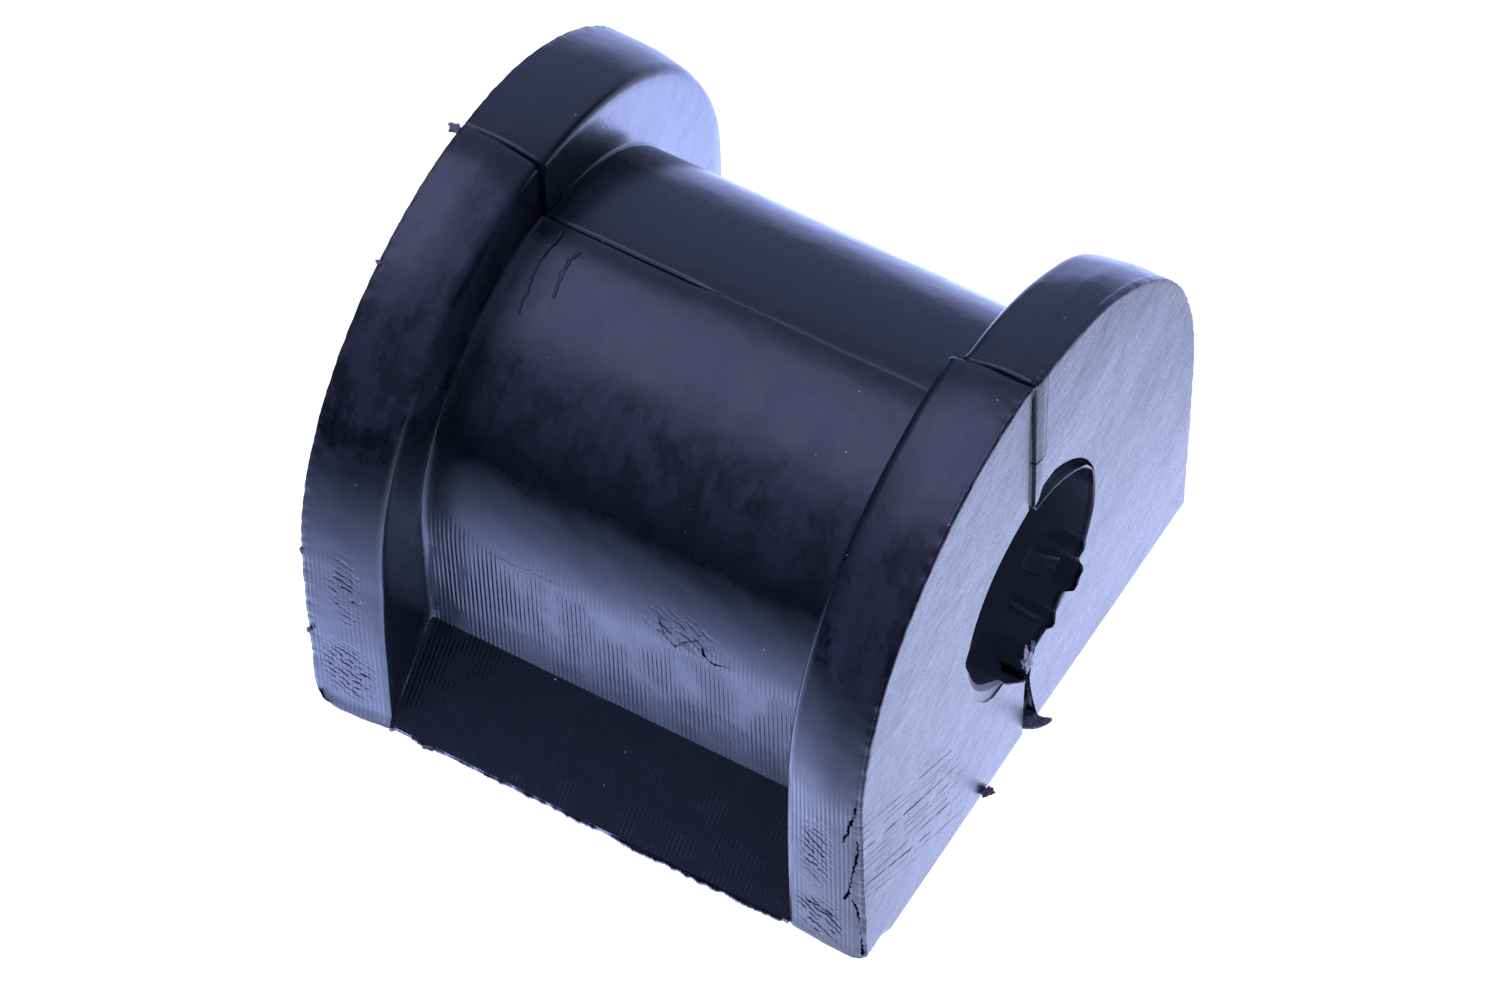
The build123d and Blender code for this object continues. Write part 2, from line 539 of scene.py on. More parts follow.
@dataclass(frozen=True)
class Moulding:
    """The one-piece rubber moulding, modelled as rings that are extruded along the bore.

    Args:
        land_width: width of the rims' land.
        land_steps: rings on the land.
        crown_steps: rings on the crown, which falls off from the land.
        shoulder: radius of the rims' inner edges.
        shoulder_steps: rings round those edges.
        wall_steps: rings down the inner walls.
        root: radius of the corner between a wall and the seat.
        root_steps: rings round that corner.
        seat_steps: rings along the seat.
        edge_round: size of the rims' outer edges.
        back_mouth: chamfer of the back mouth.
        mouth_steps: rings in each mouth.
        front_steps: rings across the front face.
        back_steps: rings across the back face.
        bore_steps: rings along the bore.
        lean_top: height under which the front flange leans.
        near_lean: how far it leans in the near half, for each millimetre of y.
        far_lean: the same in the far half.
        front_bulge: how far the near foot bulges at the front end.
        back_bulge: the same at the back end.
        bulge_top: height under which it bulges.
        slit: half width of the slit.
        slit_top: height from which the slit gapes down to the base.
        slit_width: distance from the seam over which the gape dies out.
        slit_depth: distances from the front face between which it dies out.
        near_gape: how far the slit's near wall has spread.
        far_gape: the same of its far wall.
        chips: ends and sizes of the near foot's worn corners.
        chip_reach: distances towards -Y between which those corners begin.
        torn: edge of the front mouth.
        worn: sizes of the misfit and the wear.
        near: outline of the near half.
        far: outline of the far half.
    """

    land_width: float = 3.5
    land_steps: int = 6
    crown_steps: int = 5
    shoulder: float = 1.1
    shoulder_steps: int = 5
    wall_steps: int = 7
    root: float = 0.5
    root_steps: int = 3
    seat_steps: int = 58
    edge_round: float = 0.15
    back_mouth: float = 0.5
    mouth_steps: int = 5
    front_steps: int = 26
    back_steps: int = 14
    bore_steps: int = 14
    lean_top: float = -6.0
    near_lean: float = 0.011
    far_lean: float = 0.003
    front_bulge: float = 0.08
    back_bulge: float = 0.3
    bulge_top: float = -22.0
    slit: float = 0.1
    slit_top: float = -14.5
    slit_width: float = 3.0
    slit_depth: Span = (0.5, 3.5)
    near_gape: float = 0.45
    far_gape: float = 2.1
    chips: Line = ((-1, 1.9), (1, 0.8))
    chip_reach: Span = (26.0, 29.0)
    torn: TornMouth = TornMouth()
    worn: Wear = Wear()
    near: HalfOutline = HalfOutline(
        Half.NEAR, 30.65, 30.35, 0.0, 30.25, 30.0, (0.3, 0.7), 0.3, (-20.0, 6.0),
        21.45, -21.85, (34, 2, 26, 52, 150),
    )
    far: HalfOutline = HalfOutline(
        Half.FAR, 31.2, 30.85, -0.32, 31.05, 30.5, (0.1, 0.5), 0.35, (-4.0, 16.0),
        22.05, -21.4, (34, 2, 14, 24, 92), seat_reach=22.42,
    )

    def build(self) -> bpy.types.Object:
        """Model the moulding.

        Returns:
            The finished mesh object.
        """
        stations = self.plan()
        first = self.ring(stations[0])
        piece = self.start_ring(first)
        for station in stations[1:]:
            self.extrude_ring(piece, self.ring(station))
        self.cut_slit(piece, len(first))
        finish_mesh(piece)
        log.info("moulding: %d rings of %d points", len(stations), len(first))
        return piece

    def plan(self) -> list[Station]:
        """List the rings: rim, wall, seat, wall, rim, back face, bore, front face."""
        rings = self.flange_stations(1)
        for share in np.linspace(1, -1, self.seat_steps):
            rings.append(Station(Zone.SEAT, 0, share, seat=1.0))
        rings += reversed(self.flange_stations(-1))
        rings += self.face_stations(-1, self.back_steps)
        for share in np.linspace(-1, 1, self.bore_steps)[1:-1]:
            rings.append(Station(Zone.BORE, 0, share, bore=1.0))
        rings += reversed(self.face_stations(1, self.front_steps))
        rings.append(rings[0])
        return rings

    def flange_stations(self, end: int) -> list[Station]:
        """Rings over one flange's rim and down its inner wall to the seat.

        Args:
            end: 1 for the front flange, -1 for the back one.

        Returns:
            The rings, from the outer face inwards.
        """
        edge = self.edge_round
        rings = [Station(Zone.RIM, end, 0.0, inset=edge)]
        rings.append(Station(Zone.RIM, end, 0.3 * edge, inset=0.3 * edge))
        for depth in np.linspace(edge, self.land_width, self.land_steps):
            rings.append(Station(Zone.RIM, end, depth))
        crown_width = END_X - self.land_width - self.near.front_wall - self.shoulder
        for share in np.linspace(0, 1, self.crown_steps)[1:]:
            out = self.shoulder + crown_width * (1 - share)
            rings.append(Station(Zone.RIM, end, inward=out, crown=share**1.5))
        for turn in np.linspace(0, math.pi / 2, self.shoulder_steps)[1:]:
            inset = self.shoulder * (1 - math.cos(turn))
            out = self.shoulder * (1 - math.sin(turn))
            rings.append(Station(Zone.RIM, end, inward=out, crown=1.0, inset=inset))
        for share in np.linspace(0, 1, self.wall_steps)[1:]:
            up = 1 - share
            inset = self.shoulder * up - self.root * share
            rings.append(Station(Zone.WALL, end, inward=0.0, crown=up, inset=inset, seat=share))
        for turn in np.linspace(0, math.pi / 2, self.root_steps + 1)[1:-1]:
            out = -self.root * (1 - math.cos(turn))
            inset = self.root * (math.sin(turn) - 1)
            rings.append(Station(Zone.WALL, end, inward=out, inset=inset, seat=1.0))
        return rings

    def face_stations(self, end: int, steps: int) -> list[Station]:
        """Rings over one end face, from its rim to the bore's wall.

        Args:
            end: 1 for the front face, -1 for the back one.
            steps: rings across the flat of the face.

        Returns:
            The rings, from the rim inwards, without the one on the rim's edge.
        """
        rings = []
        for step in np.linspace(0, 1, steps)[1:]:
            share = 0.6 * (0.5 - 0.5 * math.cos(math.pi * step)) + 0.4 * step
            rings.append(Station(Zone.FACE, end, inset=self.edge_round, bore=share, flare=1.0))
        reach = 0.0 if end > 0 else self.back_mouth
        for share in np.linspace(0, 1, self.mouth_steps + 1)[1:]:
            flare = 1 - share
            rings.append(Station(Zone.MOUTH, end, reach * share, bore=1.0, flare=flare))
        return rings

    def place_along(self, station: Station, outline: HalfOutline) -> float:
        """Place of one ring along the bore in one half, before wear."""
        if station.zone is Zone.BORE:
            front = END_X - self.torn.depth
            back = self.back_mouth - END_X
            return 0.5 * (front + back) + station.depth * 0.5 * (front - back)
        if station.zone is Zone.SEAT:
            front = outline.front_wall - self.root
            back = outline.back_wall + self.root
            return 0.5 * (front + back) + station.depth * 0.5 * (front - back)
        if station.inward is None:
            return station.end * (END_X - station.depth)
        wall = outline.front_wall if station.end > 0 else outline.back_wall
        return wall + station.end * station.inward

    def ring(self, station: Station) -> np.ndarray:
        """Place the points of one ring, once round from slit wall to slit wall.

        Args:
            station: the ring's place and outline.

        Returns:
            Rows of x, y and z in millimetres.
        """
        parts = []
        for outline in (self.near, self.far):
            side = outline.half.value
            flange = outline.flange(station.crown, station.inset, self.slit)
            seat = outline.seat(station.inset * station.seat, self.slit)
            points = flange + (seat - flange) * station.seat
            full = outline.flange(0.0, 0.0, self.slit)
            angle = np.arctan2(full[:, 1], PARTING_Y + side * full[:, 0])
            along = np.full(len(points), self.place_along(station, outline))
            if station.end > 0:
                step = round((1.0 - station.flare) * self.mouth_steps)
                radius, sunk = self.torn.profile(angle, step)
                along -= sunk * (station.zone is Zone.MOUTH)
            else:
                radius = self.torn.radius + self.back_mouth * station.flare
            circle = np.column_stack([radius * np.cos(angle), radius * np.sin(angle)])
            around = np.column_stack([PARTING_Y + side * points[:, 0], points[:, 1]])
            around += (circle - around) * station.bore
            placed = np.column_stack([along, around])
            placed = self.wear(placed, station, outline.half, self.outward(points, side))
            parts.append(placed if outline.half is Half.NEAR else placed[::-1])
        return np.concatenate(parts)

    def outward(self, points: np.ndarray, side: int) -> np.ndarray:
        """Outward directions in the section.

        Args:
            points: rows of (distance from the parting plane, height).
            side: -1 in the near half, 1 in the far one.

        Returns:
            One unit direction in y and z for each point.
        """
        along = np.gradient(points, axis=0)
        along /= np.linalg.norm(along, axis=1, keepdims=True) + 1e-9
        return np.column_stack([side * along[:, 1], -along[:, 0]])

    def wear(
        self, points: np.ndarray, station: Station, half: Half, outward: np.ndarray
    ) -> np.ndarray:
        """Move one ring's points for the mould's misfit, waviness, torn edges and chips.

        Args:
            points: rows of x, y and z.
            station: the ring.
            half: the half that the points lie in.
            outward: outward directions in the section.

        Returns:
            The moved points.
        """
        from_seam = half.value * (points[:, 1] - PARTING_Y)
        push = np.zeros(len(points))
        if station.zone in (Zone.RIM, Zone.SEAT, Zone.WALL):
            push += self.worn.skin(points, station, half)
        if station.zone is Zone.RIM and station.inward is None and station.depth < 1.0:
            push += self.worn.rim_edge(points, station, half)
        moved = points.copy()
        moved[:, 0] += self.worn.forward(points, station, half)
        if half is Half.FAR and station.end > 0:
            moved[:, 0] += self.far_shift(points)
        moved[:, 1:] += push[:, None] * outward
        if station.end > 0:
            lean = self.near_lean if half is Half.NEAR else self.far_lean
            moved[:, 0] -= lean * moved[:, 1] * (1.0 - ease(moved[:, 2], BASE_Z, self.lean_top))
        if half is Half.NEAR and station.end:
            bulge = self.front_bulge if station.end > 0 else self.back_bulge
            bulge = bulge * (1.0 + ripple(points, 1.6, 6.0)) * ease(from_seam, 27.0, 30.0)
            moved[:, 1] -= bulge * (1.0 - ease(moved[:, 2], BASE_Z, self.bulge_top))
        if station.end > 0 and station.inward is None:
            kept = 1.0 - ease(station.depth, *self.slit_depth)
            moved[:, 1] += self.gape(moved, half, from_seam) * kept
        return self.chip_corners(moved)

    def gape(self, points: np.ndarray, half: Half, from_seam: np.ndarray) -> np.ndarray:
        """How far the slit's wall has spread towards +Y, most of all at the base."""
        down = np.clip((self.slit_top - points[:, 2]) / (self.slit_top - BASE_Z), 0.0, 1.0)
        near_by = np.exp(-((from_seam / self.slit_width) ** 2))
        if half is Half.NEAR:
            return -self.near_gape * ease(down, 0.0, 0.15) * near_by
        return self.far_gape * down**1.3 * near_by

    def far_shift(self, points: np.ndarray) -> np.ndarray:
        """How far the far half sits forward of the near one, most of all at the top."""
        ramp = 0.25 + 0.75 * ease(points[:, 1] - PARTING_Y, 0.05, 1.3)
        level = 0.12 + 0.08 * ease(points[:, 2], BASE_Z, -8.0)
        return level + 0.25 * ease(points[:, 2], 8.0, 20.0) * ramp

    def chip_corners(self, points: np.ndarray) -> np.ndarray:
        """Wear away the near foot's outer corners."""
        moved = points.copy()
        for end, size in self.chips:
            gap = (END_X - end * points[:, 0]) + (points[:, 2] - BASE_Z)
            torn = size * (1.0 + 0.35 * ripple(points, 0.9, 7.0))
            cut = np.clip(torn - gap, 0.0, None) * 0.5 * ease(-points[:, 1], *self.chip_reach)
            moved[:, 0] -= end * cut
            moved[:, 2] += cut
        return moved

    def start_ring(self, points: np.ndarray) -> bpy.types.Object:
        """Add the first ring and leave it selected in edit mode."""
        deselect_all()
        bpy.ops.mesh.primitive_circle_add(vertices=len(points), radius=self.near.reach * MM)
        piece = bpy.context.active_object
        piece.name = "rubber_moulding"
        piece.data.vertices.foreach_set("co", (points * MM).ravel())
        bpy.ops.object.mode_set(mode="EDIT")
        bpy.ops.mesh.select_mode(type="VERT")
        bpy.ops.mesh.select_all(action="SELECT")
        return piece

    def extrude_ring(self, piece: bpy.types.Object, points: np.ndarray) -> None:
        """Extrude the selected ring and put its copy on the next station's points."""
        bpy.ops.mesh.extrude_region_move()
        shell = bmesh.from_edit_mesh(piece.data)
        shell.verts.ensure_lookup_table()
        start = len(shell.verts) - len(points)
        for index, point in enumerate(points * MM):
            shell.verts[start + index].co = point

    def cut_slit(self, piece: bpy.types.Object, columns: int) -> None:
        """Open the slit by removing the strip between the last and the first column.

        Args:
            piece: the skin, in edit mode, with its rings in order.
            columns: points in each ring.
        """
        shell = bmesh.from_edit_mesh(piece.data)
        rings = len(shell.verts) // columns
        first = {ring * columns for ring in range(rings)}
        last = {ring * columns + columns - 1 for ring in range(rings)}
        bpy.ops.mesh.select_all(action="DESELECT")
        bpy.ops.mesh.select_mode(type="FACE")
        for face in shell.faces:
            around = {vert.index for vert in face.verts}
            face.select_set(bool(around & first) and bool(around & last))
        bmesh.update_edit_mesh(piece.data)
        log.info("slit strip: %d faces", sum(face.select for face in shell.faces))
        bpy.ops.mesh.delete(type="FACE")
        bpy.ops.mesh.select_all(action="SELECT")
        bpy.ops.mesh.remove_doubles(threshold=1e-6)
        bpy.ops.mesh.select_mode(type="EDGE")
        bpy.ops.mesh.select_all(action="DESELECT")
        bpy.ops.mesh.select_non_manifold()
        bpy.ops.mesh.edge_face_add()


@dataclass(frozen=True)
class TornBit:
    """A small torn bit of rubber that hangs on an edge.

    Args:
        name: the piece's name.
        place: its middle.
        size: half sizes along its own axes.
        lean: turn about X, Y and Z in degrees.
        seed: picks its own rough shape.
    """

    name: str
    place: Point
    size: Point
    lean: Point = (0.0, 0.0, 0.0)
    seed: float = 0.0

    def build(self) -> bpy.types.Object:
        """Model the bit from a ball that is drawn out and roughened.

        Returns:
            The finished mesh object.
        """
        deselect_all()
        bpy.ops.mesh.primitive_ico_sphere_add(subdivisions=4, radius=1.0)
        piece = bpy.context.active_object
        piece.name = self.name
        turn = Matrix.Rotation(math.radians(self.lean[2]), 3, "Z")
        turn = turn @ Matrix.Rotation(math.radians(self.lean[1]), 3, "Y")
        turn = turn @ Matrix.Rotation(math.radians(self.lean[0]), 3, "X")
        scale = Matrix.Diagonal(self.size)
        shift = Vector((self.seed * 3.1, self.seed, -self.seed))
        for vert in piece.data.vertices:
            bulge = 1.0 + 0.6 * noise.noise(vert.co * 1.6 + shift)
            bulge += 0.4 * noise.noise(vert.co * 3.6 + shift)
            vert.co = (turn @ (scale @ (vert.co * bulge)) + Vector(self.place)) * MM
        finish_mesh(piece, 60.0)
        return piece


@dataclass(frozen=True)
class TornTab:
    """A flat torn tab, drawn as its outline from above.

    Args:
        name: the piece's name.
        outline: its corners as x and y, in order round it.
        height: z of its middle.
        thickness: its thickness before it is rounded off.
        rounding: how many times its faces are split to round it off.
        rough: how far its rough skin strays.
        rough_pitch: length of one wave of that skin.
        rough_shifts: places in the noise where the skin's x, y and z parts are read.
    """

    name: str
    outline: Line
    height: float
    thickness: float = 0.5
    rounding: int = 3
    rough: float = 0.07
    rough_pitch: float = 0.35
    rough_shifts: tuple[Point, Point, Point] = ((3.7, 0.0, 0.0), (0.0, 5.3, 0.0), (0.0, 0.0, 7.9))

    def build(self) -> bpy.types.Object:
        """Model the tab from a polygon that is thickened, rounded off and roughened.

        Returns:
            The finished mesh object.
        """
        deselect_all()
        bpy.ops.mesh.primitive_circle_add(vertices=len(self.outline), fill_type="NGON")
        piece = bpy.context.active_object
        piece.name = self.name
        for vert, (x, y) in zip(piece.data.vertices, self.outline):
            vert.co = Vector((x, y, self.height)) * MM
        thicken(piece, self.thickness)
        apply_modifier(piece, "SUBSURF", {"levels": self.rounding})
        shifts = [Vector(shift) for shift in self.rough_shifts]
        for vert in piece.data.vertices:
            spot = vert.co / MM / self.rough_pitch
            stray = Vector([noise.noise(spot + shift) for shift in shifts])
            vert.co += stray * self.rough * MM
        finish_mesh(piece, 60.0)
        return piece


@dataclass(frozen=True)
class FootFlash:
    """Torn flash along one foot of the seat.

    Args:
        half: the half that it hangs on.
        root: distance of its root from the parting plane.
        reach: how far it stands out on average.
        start: x of its back end.
        end: x of its front end.
        growth: how much further it stands out towards the front.
        growth_x: places between which it grows.
        fade: length over which it runs out at its ends.
        thickness: its thickness.
        lift: height of its middle over the base.
        across: faces across it.
        spacing: length of one face.
    """

    half: Half
    root: float
    reach: float
    start: float = -21.7
    end: float = 21.6
    growth: float = 0.0
    growth_x: Span = (-5.0, 10.0)
    fade: float = 0.8
    thickness: float = 0.28
    lift: float = 0.12
    across: int = 4
    spacing: float = 0.14

    def build(self) -> bpy.types.Object:
        """Model the flash from a flat grid with a torn outer edge.

        Returns:
            The finished mesh object.
        """
        deselect_all()
        count = int((self.end - self.start) / self.spacing)
        bpy.ops.mesh.primitive_grid_add(x_subdivisions=count, y_subdivisions=self.across, size=1.0)
        piece = bpy.context.active_object
        piece.name = f"foot_flash_{self.half.name.lower()}"
        side = self.half.value
        for vert in piece.data.vertices:
            x = self.start + (vert.co.x + 0.5) * (self.end - self.start)
            share = vert.co.y + 0.5
            spot = Vector((x, side * 7.0, 0.0))
            torn = self.reach + self.growth * float(ease(x, *self.growth_x))
            torn *= 1.0 + 0.5 * noise.noise(spot / 3.1) + 0.45 * noise.noise(spot / 0.8)
            torn += 0.28 * abs(noise.noise(spot / 0.35))
            torn *= float(ease(x - self.start, 0.0, self.fade) * ease(self.end - x, 0.0, self.fade))
            out = self.root + max(torn, 0.02) * share
            lift = self.lift + 0.1 * noise.noise(spot / 1.7) * share
            vert.co = Vector((x, PARTING_Y + side * out, BASE_Z + lift)) * MM
        thicken(piece, self.thickness)
        finish_mesh(piece, 50.0)
        return piece


class Wire:
    """An output socket that adds Math nodes when it is used in an expression."""

    def __init__(self, sheet: "Sheet", socket: bpy.types.NodeSocket) -> None:
        """Hold a socket of a sheet's node tree."""
        self.sheet = sheet
        self.socket = socket

    def maths(self, operation: str, left: "Wire | float", right: "Wire | float") -> "Wire":
        """Add one Math node and return its output."""
        return self.sheet.add("ShaderNodeMath", {"operation": operation}, {0: left, 1: right})

    def __add__(self, other: "Wire | float") -> "Wire":
        """This plus other."""
        return self.maths("ADD", self, other)

    def __radd__(self, other: "Wire | float") -> "Wire":
        """Other plus this."""
        return self.maths("ADD", other, self)

    def __sub__(self, other: "Wire | float") -> "Wire":
        """This minus other."""
        return self.maths("SUBTRACT", self, other)

    def __rsub__(self, other: "Wire | float") -> "Wire":
        """Other minus this."""
        return self.maths("SUBTRACT", other, self)

    def __mul__(self, other: "Wire | float") -> "Wire":
        """This times other."""
        return self.maths("MULTIPLY", self, other)

    def __rmul__(self, other: "Wire | float") -> "Wire":
        """Other times this."""
        return self.maths("MULTIPLY", other, self)

    def least(self, other: "Wire | float") -> "Wire":
        """The smaller of this and other."""
        return self.maths("MINIMUM", self, other)

    def most(self, other: "Wire | float") -> "Wire":
        """The larger of this and other."""
        return self.maths("MAXIMUM", self, other)

    def size(self) -> "Wire":
        """This without its sign."""
        return self.sheet.add("ShaderNodeMath", {"operation": "ABSOLUTE"}, {0: self})

    def wave(self, pitch: float) -> "Wire":
        """Sine wave along this, from -1 to 1, with the length of one wave."""
        turns = self * (2.0 * math.pi / pitch)
        return self.sheet.add("ShaderNodeMath", {"operation": "SINE"}, {0: turns})

    def ramp(self, low: float, high: float) -> "Wire":
        """Smooth step from 0 at low to 1 at high."""
        return self.sheet.add(
            "ShaderNodeMapRange",
            {"interpolation_type": "SMOOTHSTEP"},
            {"Value": self, "From Min": low, "From Max": high},
        )


class Sheet:
    """A material's node tree, with the few node patterns that the finishes share."""

    def __init__(self, name: str) -> None:
        """Start a material with a Principled shader and coordinates in millimetres."""
        self.material = bpy.data.materials.new(name)
        self.material.use_nodes = True
        self.tree = self.material.node_tree
        self.shader = self.tree.nodes["Principled BSDF"]
        self.output = self.tree.nodes["Material Output"]
        place = self.add("ShaderNodeTexCoord", {}, {}, "Object")
        scaled = {"operation": "SCALE"}
        self.point = self.add("ShaderNodeVectorMath", scaled, {0: place, "Scale": 1.0 / MM})
        self.x = self.add("ShaderNodeSeparateXYZ", {}, {0: self.point}, "X")
        parts = self.x.socket.node.outputs
        self.y = Wire(self, parts["Y"])
        self.z = Wire(self, parts["Z"])

    def add(
        self,
        kind: str,
        settings: dict[str, object],
        values: dict[str | int, object],
        output: str | int = 0,
    ) -> Wire:
        """Add a node.

        Args:
            kind: the node's type.
            settings: its properties, set first.
            values: its sockets, by name or number, as values or wires.
            output: the output socket to return.

        Returns:
            A wire on that output.
        """
        node = self.tree.nodes.new(kind)
        for name, value in settings.items():
            setattr(node, name, value)
        self.fill(node, values)
        return Wire(self, node.outputs[output])

    def fill(self, node: bpy.types.Node, values: dict[str | int, object]) -> None:
        """Set or link a node's sockets.

        Args:
            node: the node.
            values: its sockets, by name or number, as values or wires.
        """
        for name, value in values.items():
            if isinstance(value, Wire):
                self.tree.links.new(value.socket, node.inputs[name])
            else:
                node.inputs[name].default_value = value

    def length(self, vector: Wire) -> Wire:
        """Length of a vector."""
        return self.add("ShaderNodeVectorMath", {"operation": "LENGTH"}, {0: vector}, "Value")

    def stretched(self, scale: Point, shift: Point = (0.0, 0.0, 0.0)) -> Wire:
        """The point with each axis scaled, and then moved."""
        return self.add(
            "ShaderNodeVectorMath",
            {"operation": "MULTIPLY_ADD"},
            {0: self.point, 1: scale, 2: shift},
        )

    def grain(self, where: Wire, scale: float, detail: float = 2.0, rough: float = 0.5) -> Wire:
        """Noise from 0 to 1 at a scale per millimetre."""
        values = {"Vector": where, "Scale": scale, "Detail": detail, "Roughness": rough}
        return self.add("ShaderNodeTexNoise", {}, values)

    def near_to(self, centre: Point, radii: Point, edge: float = 0.5) -> Wire:
        """Mask that is 1 inside an ellipsoid and fades to 0 at its surface."""
        scale = tuple(1.0 / radius for radius in radii)
        shift = tuple(-place / radius for place, radius in zip(centre, radii))
        return 1.0 - self.length(self.stretched(scale, shift)).ramp(1.0 - edge, 1.0)

    def curve(self, along: Wire, places: Line) -> Wire:
        """Value of a line of straight pieces.

        Args:
            along: the value that the line runs along.
            places: pairs of that value and the line's own, in rising order of the first.

        Returns:
            The line's value.
        """
        start, end = places[0][0], places[-1][0]
        low = min(place[1] for place in places)
        high = max(place[1] for place in places) + 1e-3
        share = (along - start) * (1.0 / (end - start))
        drawn = self.add("ShaderNodeFloatCurve", {}, {"Value": share})
        mapping = drawn.socket.node.mapping
        points = mapping.curves[0].points
        for place in places[1:-1]:
            points.new((place[0] - start) / (end - start), (place[1] - low) / (high - low))
        points[0].location = (0.0, (places[0][1] - low) / (high - low))
        points[-1].location = (1.0, (places[-1][1] - low) / (high - low))
        for point in points:
            point.handle_type = "VECTOR"
        mapping.update()
        return drawn * (high - low) + low

    def trace(self, along: Wire, across: Wire, places: Line) -> Wire:
        """Distance from a line that is drawn as one coordinate over another.

        Args:
            along: the coordinate that the line runs along.
            across: the coordinate that it is drawn in.
            places: pairs of the two, in rising order of the first.

        Returns:
            The distance across the line, or past its ends.
        """
        middle = 0.5 * (places[0][0] + places[-1][0])
        half = 0.5 * (places[-1][0] - places[0][0])
        beyond = ((along - middle).size() - half).most(0.0)
        return (across - self.curve(along, places)).size() + beyond

    def blend(self, mask: Wire, low: object, high: object) -> Wire:
        """Mix two colours by a mask."""
        values = {0: mask, 6: low, 7: high}
        return self.add("ShaderNodeMix", {"data_type": "RGBA"}, values, 2)


@dataclass(frozen=True)
class SkinLines:
    """Lines where the rubber has cracked, creased or been scratched.

    Args:
        level_cracks: cracks that run along the near side, as z over x.
        upright_cracks: cracks that run up the near side and its front rim, as x over z.
        cross_creases: creases across the top of the seat, as x over y.
        side_creases: creases in the near side, as z over x.
    """

    level_cracks: tuple[Line, ...] = (
        ((5.4, 0.0), (6.5, 1.4), (7.9, 2.5)),
        ((9.2, 0.3), (9.7, 0.2), (11.4, 0.8)),
        ((23.9, -18.1), (25.3, -17.8), (26.6, -18.4)),
    )
    upright_cracks: tuple[Line, ...] = (
        ((0.0, 5.4), (1.1, 4.3), (2.8, 3.8), (4.0, 3.3)),
        ((0.3, 9.2), (0.7, 8.6), (1.7, 8.4), (2.5, 7.9)),
        ((-5.1, 28.0), (-1.8, 28.7), (-0.1, 29.2), (2.9, 29.5)),
        ((-14.4, 28.0), (-13.0, 28.5), (-9.1, 29.0), (-5.7, 29.5), (-3.9, 29.5)),
        ((-22.5, 29.9), (-20.4, 29.8), (-17.3, 29.6), (-14.8, 29.3), (-14.1, 28.9)),
    )
    cross_creases: tuple[Line, ...] = (
        ((-10.2, -18.6), (-7.3, -19.1), (-5.0, -19.4), (-1.7, -19.0)),
        ((-7.7, -16.3), (-5.6, -16.9), (-3.8, -16.9), (-2.8, -16.4)),
    )
    side_creases: tuple[Line, ...] = (((-14.6, 0.8), (-9.7, 0.8), (-6.8, 1.1)),)


def nearest(sheet: Sheet, along: Wire, across: Wire, lines: tuple[Line, ...]) -> Wire:
    """Distance to the nearest of several lines that are drawn on the same two coordinates."""
    distance = sheet.trace(along, across, lines[0])
    for line in lines[1:]:
        distance = distance.least(sheet.trace(along, across, line))
    return distance


@dataclass(frozen=True)
class Pucker:
    """A patch of puckered skin.

    Args:
        centre: its middle.
        radii: its half sizes.
        edge: share of it, from its surface in, over which it fades.
        strength: how strongly it is puckered.
    """

    centre: Point
    radii: Point
    edge: float
    strength: float = 1.0

    def mask(self, sheet: Sheet) -> Wire:
        """Mask of the patch."""
        return sheet.near_to(self.centre, self.radii, self.edge) * self.strength


